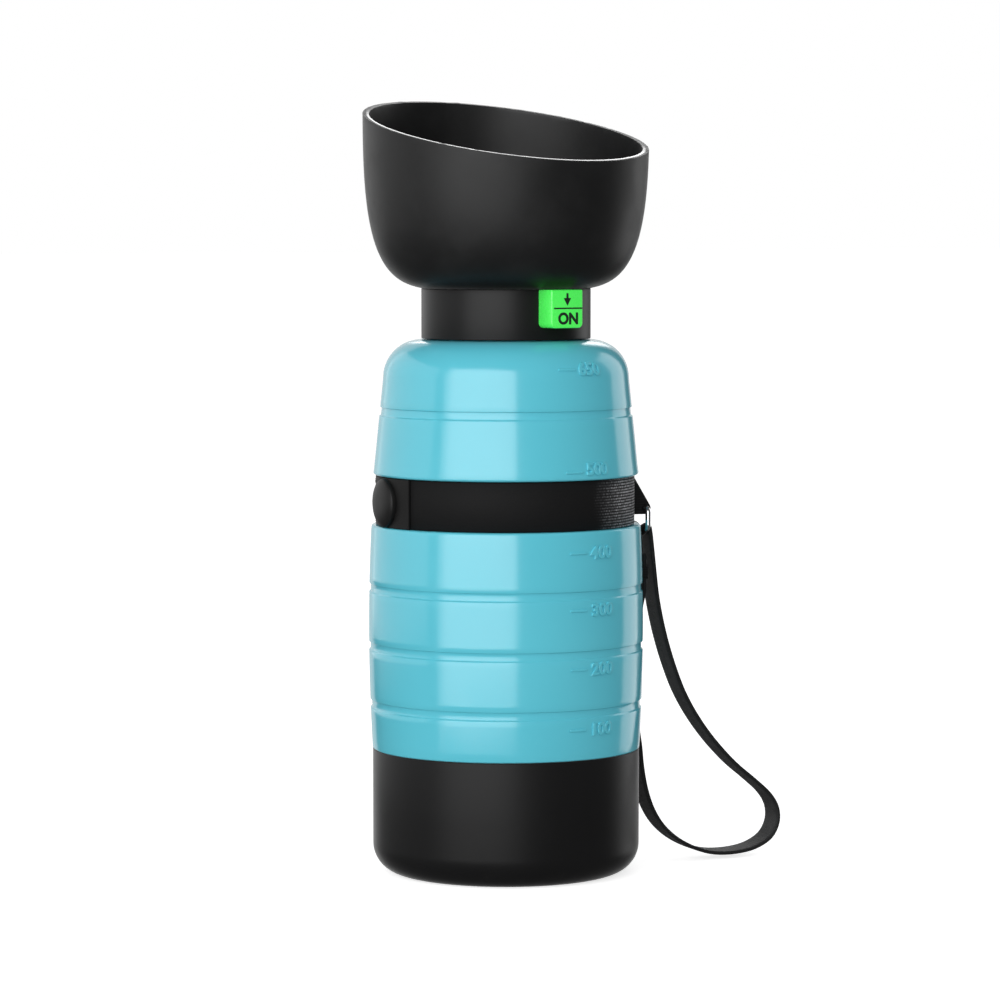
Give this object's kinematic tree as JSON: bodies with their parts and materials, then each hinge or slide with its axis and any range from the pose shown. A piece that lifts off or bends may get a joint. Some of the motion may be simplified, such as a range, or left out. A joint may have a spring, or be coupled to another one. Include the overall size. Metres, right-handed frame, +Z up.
{
  "type": "dog travel water bottle",
  "caption": "Squeezable travel water bottle for dogs with a slanted silicone drinking bowl on its screwed head, a push-button valve, a screwed base cup, a snap belt and a hand strap.",
  "frame": {"origin": "middle of the flat foot, on the surface that the bottle stands on", "axes": "+Z up along the bottle's axis, -Y towards the green push button, the low side of the bowl and the volume scale"},
  "size_m": [0.1381, 0.0899, 0.2449],
  "materials": {
    "base_plastic": "satin moulded black plastic",
    "cap_plastic": "satin moulded black plastic",
    "bowl_silicone": "soft satin black silicone",
    "bottle_plastic": "glossy light blue soft plastic",
    "button_plastic": "glossy bright green plastic",
    "valve_plastic": "plain white acetal",
    "clear_silicone": "translucent white silicone",
    "black_rubber": "black nitrile",
    "belt_webbing": "black ribbed elastic webbing",
    "tab_rubber": "smooth matt black",
    "snap_plastic": "satin black",
    "snap_metal": "nickel plated",
    "ring_metal": "polished nickel",
    "strap_webbing": "dark grey flat webbing"
  },
  "bodies": {
    "base": {"base_cup": "base_plastic"},
    "base_seal": {"base_seal": "clear_silicone"},
    "bottle": {"bottle": "bottle_plastic", "belt": "belt_webbing", "snap_stud": "snap_metal", "snap_post": "snap_metal", "ring_loop": "belt_webbing"},
    "neck_gasket": {"neck_gasket": "clear_silicone"},
    "head": {"cap_body": "cap_plastic", "cap_top": "cap_plastic", "bowl": "bowl_silicone", "bowl_retainer": "cap_plastic", "outlet_cover": "cap_plastic", "plug_seal": "clear_silicone"},
    "valve": {"valve_sleeve": "valve_plastic", "sleeve_o_ring_lower": "black_rubber", "sleeve_o_ring_upper": "black_rubber", "push_button": "button_plastic"},
    "snap_flap": {"belt_tab": "tab_rubber", "snap_cap": "snap_plastic", "snap_socket": "snap_metal"},
    "strap": {"strap_ring": "ring_metal", "hand_strap": "strap_webbing", "strap_keeper": "strap_webbing"}
  },
  "joints": [
    {"name": "base_lift", "type": "slide", "parent": "base", "child": "base_seal", "axis": [0, 0, 1], "range_m": [0, 0.012]},
    {"name": "base_turn", "type": "hinge", "parent": "base_seal", "child": "bottle", "pos_m": [0, 0, 0.03], "axis": [0, 0, 1], "range_deg": [0, 1440]},
    {"name": "head_lift", "type": "slide", "parent": "bottle", "child": "neck_gasket", "axis": [0, 0, 1], "range_m": [0, 0.009]},
    {"name": "head_turn", "type": "hinge", "parent": "neck_gasket", "child": "head", "pos_m": [0, 0, 0.177], "axis": [0, 0, 1], "range_deg": [0, 1080]},
    {"name": "button_slide", "type": "slide", "parent": "head", "child": "valve", "axis": [0, 0, -1], "range_m": [0, 0.003]},
    {"name": "snap_open", "type": "hinge", "parent": "bottle", "child": "snap_flap", "pos_m": [-0.03436, 0.02318, 0.11845], "axis": [0, 0, -1], "range_deg": [0, 60]},
    {"name": "ring_swing", "type": "hinge", "parent": "bottle", "child": "strap", "pos_m": [0.04507, -0.01016, 0.1146], "axis": [-0.2198, -0.9755, 0], "range_deg": [0, 100]}
  ],
  "couplings": [
    {"joint": "base_lift", "follows": "base_turn", "m_per_rad": 0.00047746},
    {"joint": "head_lift", "follows": "head_turn", "m_per_rad": 0.00047746}
  ]
}
